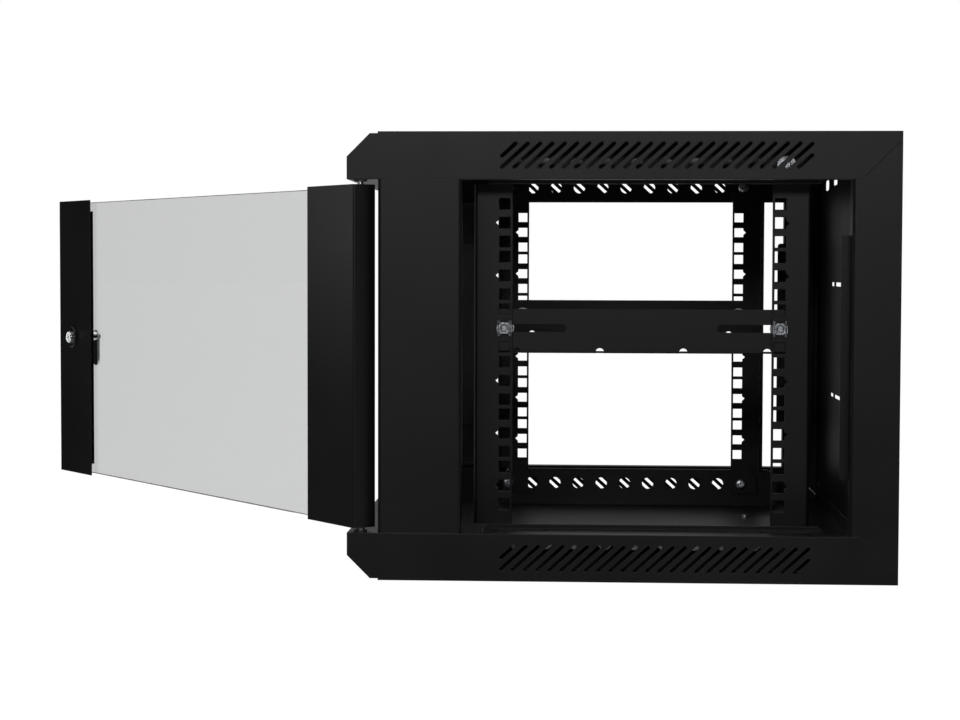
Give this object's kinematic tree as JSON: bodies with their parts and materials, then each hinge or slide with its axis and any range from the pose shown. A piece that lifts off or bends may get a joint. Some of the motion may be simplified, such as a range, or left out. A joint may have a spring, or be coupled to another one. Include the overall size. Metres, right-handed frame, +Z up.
{
  "type": "wall mount network cabinet",
  "caption": "Black wall-mount 19 inch network cabinet with side panels removed, slotted covers, square-hole rails and a framed glass door standing open.",
  "frame": {"origin": "centre of the back face, on the wall, half way up", "axes": "+Y into the wall, -Y out of the front, +X to the right seen from the front, +Z up"},
  "size_m": [0.6025, 0.8074, 0.368],
  "materials": {
    "powder_coat": "satin black powder coat, fine texture",
    "zinc": "bright zinc plate",
    "black_zinc": "black zinc plate",
    "chrome": "polished chrome",
    "glass": "clear toughened glass",
    "rubber": "matt",
    "nylon": "moulded nylon",
    "tape": "foam tape",
    "spring_steel": "plain wire"
  },
  "bodies": {
    "cabinet": {"back_panel": "powder_coat", "bar_screws": "zinc", "bar_washers": "zinc", "bottom_bracket_left": "powder_coat", "bottom_bracket_right": "powder_coat", "bottom_cable_plate": "powder_coat", "bottom_cover": "powder_coat", "cage_nut_cores": "zinc", "cage_nuts": "zinc", "door_bumpers": "rubber", "earth_nut": "zinc", "earth_stud": "zinc", "entry_screws": "zinc", "front_post_left": "powder_coat", "front_post_right": "powder_coat", "front_rail_left": "powder_coat", "front_rail_right": "powder_coat", "front_stiffener_left": "powder_coat", "front_stiffener_right": "powder_coat", "hinge_bushes": "nylon", "middle_bar_left": "powder_coat", "middle_bar_right": "powder_coat", "post_screws": "black_zinc", "rail_nuts": "zinc", "rail_screws": "zinc", "rail_washers": "zinc", "rear_rail_left": "powder_coat", "rear_rail_right": "powder_coat", "rear_stiffener_left": "powder_coat", "rear_stiffener_right": "powder_coat", "top_bracket_left": "powder_coat", "top_bracket_right": "powder_coat", "top_cable_plate": "powder_coat", "top_cover": "powder_coat"},
    "door": {"hinge_stile": "powder_coat", "lock_stile": "powder_coat", "door_glass": "glass", "hinge_side_tape": "tape", "hinge_side_clamp": "powder_coat", "hinge_side_studs": "zinc", "hinge_side_nuts": "zinc", "lock_side_tape": "tape", "lock_side_clamp": "powder_coat", "lock_side_studs": "zinc", "lock_side_nuts": "zinc", "lower_hinge_pin": "zinc", "upper_pin_spring": "spring_steel", "lock_housing": "black_zinc", "lock_nut": "zinc"},
    "upper_pin": {"upper_hinge_pin": "zinc"},
    "lock": {"lock_plug": "chrome", "lock_cam": "zinc", "cam_screw": "zinc"}
  },
  "joints": [
    {"name": "door_hinge", "type": "hinge", "parent": "cabinet", "child": "door", "pos_m": [0.2918, -0.4395, 0], "axis": [0, 0, 1], "range_deg": [-38, 142]},
    {"name": "upper_pin_slide", "type": "slide", "parent": "door", "child": "upper_pin", "axis": [0, 0, -1], "range_m": [0, 0.006], "stiffness_N_per_m": 800, "springref_m": -0.008, "deforming": ["upper_pin_spring"]},
    {"name": "lock_turn", "type": "hinge", "parent": "door", "child": "lock", "pos_m": [-0.14279, -0.77904, 0], "axis": [-0.6157, 0.788, 0], "range_deg": [0, 90]}
  ]
}
